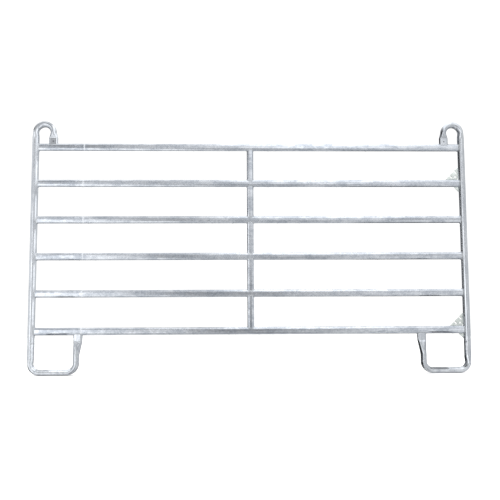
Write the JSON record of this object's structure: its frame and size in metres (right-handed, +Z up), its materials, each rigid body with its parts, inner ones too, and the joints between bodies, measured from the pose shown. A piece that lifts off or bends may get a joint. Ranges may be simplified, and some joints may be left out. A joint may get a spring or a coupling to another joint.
{
  "type": "livestock panel",
  "caption": "Galvanised steel livestock panel: flat-oval rails with mid stays between two bent end tubes with top loops and foot loops, chain plates at one end.",
  "frame": {"origin": "on the ground, under the middle of the panel's length and depth", "axes": "+X along the panel to the end with the chain plates, +Y to the back (the pictured front faces -Y), +Z up"},
  "size_m": [2.97, 0.0546, 1.72],
  "materials": {
    "galvanised_tube": "hot-dip galvanised, cold-bent tube",
    "galvanised_rail": "hot-dip galvanised, bright",
    "galvanised_plate": "hot-dip galvanised, laser-cut plate"
  },
  "bodies": {
    "root": {"left_end_tube": "galvanised_tube", "right_end_tube": "galvanised_tube", "top_rail": "galvanised_rail", "second_rail": "galvanised_rail", "third_rail": "galvanised_rail", "fourth_rail": "galvanised_rail", "fifth_rail": "galvanised_rail", "bottom_rail": "galvanised_rail", "first_stay": "galvanised_rail", "second_stay": "galvanised_rail", "third_stay": "galvanised_rail", "fourth_stay": "galvanised_rail", "fifth_stay": "galvanised_rail", "upper_chain_plate": "galvanised_plate", "lower_chain_plate": "galvanised_plate", "upper_corner_gusset": "galvanised_plate", "lower_corner_gusset": "galvanised_plate"}
  },
  "joints": []
}
